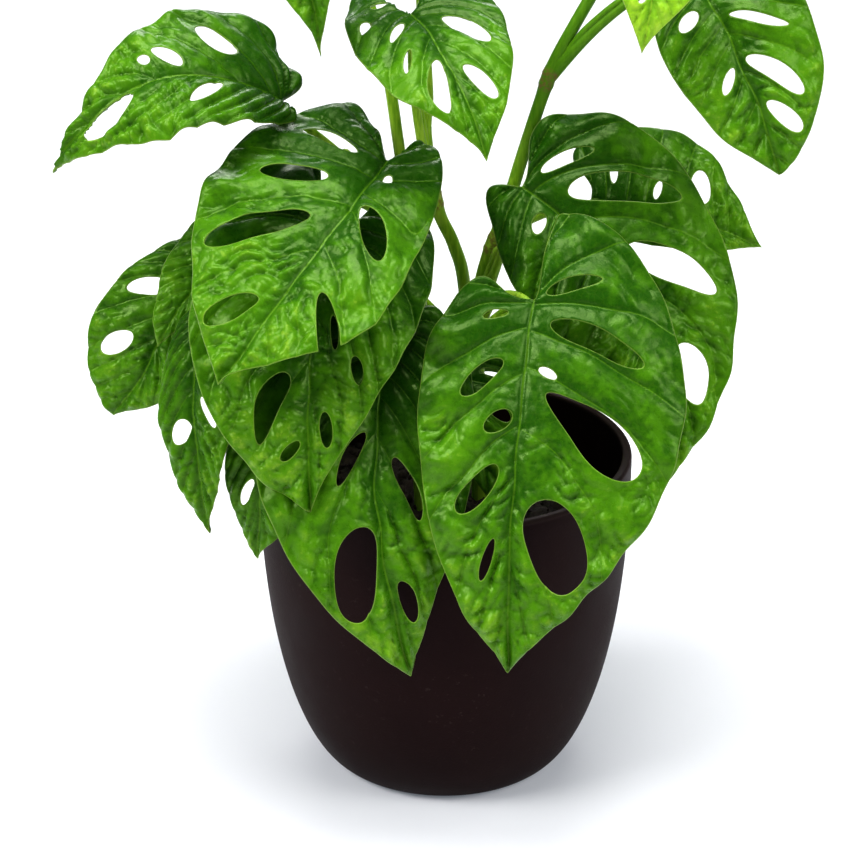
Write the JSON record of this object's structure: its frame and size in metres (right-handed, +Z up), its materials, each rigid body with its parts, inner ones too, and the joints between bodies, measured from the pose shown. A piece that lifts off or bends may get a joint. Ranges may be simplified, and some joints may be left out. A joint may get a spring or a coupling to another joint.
{
  "type": "monstera adansonii in a pot",
  "caption": "Swiss cheese vine in a round tapered pot: climbing stems in soil, long petioles and thin heart-shaped leaves cut by long oval holes.",
  "frame": {"origin": "middle of the pot's flat foot, on the surface that it stands on", "axes": "+Z up, -Y towards the viewer of the picture, +X to the viewer's right"},
  "size_m": [0.2757, 0.2014, 0.3821],
  "materials": {
    "pot": "matt dark brown, slightly paler lip",
    "soil": "dark crumbly potting soil",
    "stem": "smooth satin light green",
    "leaf": "semi-gloss puckered green, darker and lighter patches, thin yellowish edge",
    "young_leaf": "semi-gloss bright yellow-green"
  },
  "bodies": {
    "root": {"pot": "pot", "soil": "soil", "vine_right": "stem", "vine_middle": "stem", "vine_left": "stem", "vine_low": "stem", "vine_back": "stem", "leaf_front_right": "leaf", "leaf_back_right": "leaf", "leaf_front_middle": "leaf", "leaf_upper_left": "leaf", "leaf_lower_left": "leaf", "leaf_far_left": "leaf", "leaf_top_middle": "leaf", "leaf_top_right": "leaf", "leaf_side_right": "leaf", "leaf_left": "leaf", "leaf_small_left": "leaf", "leaf_hanging_left": "leaf", "leaf_rim_left": "leaf", "leaf_young_top": "young_leaf", "leaf_top_left": "leaf", "leaf_crown_right": "leaf", "leaf_crown_back": "leaf", "leaf_back_left": "leaf", "leaf_back_low": "leaf", "leaf_back_side": "leaf", "leaf_back_rim": "leaf", "leaf_inner": "leaf"}
  },
  "joints": []
}
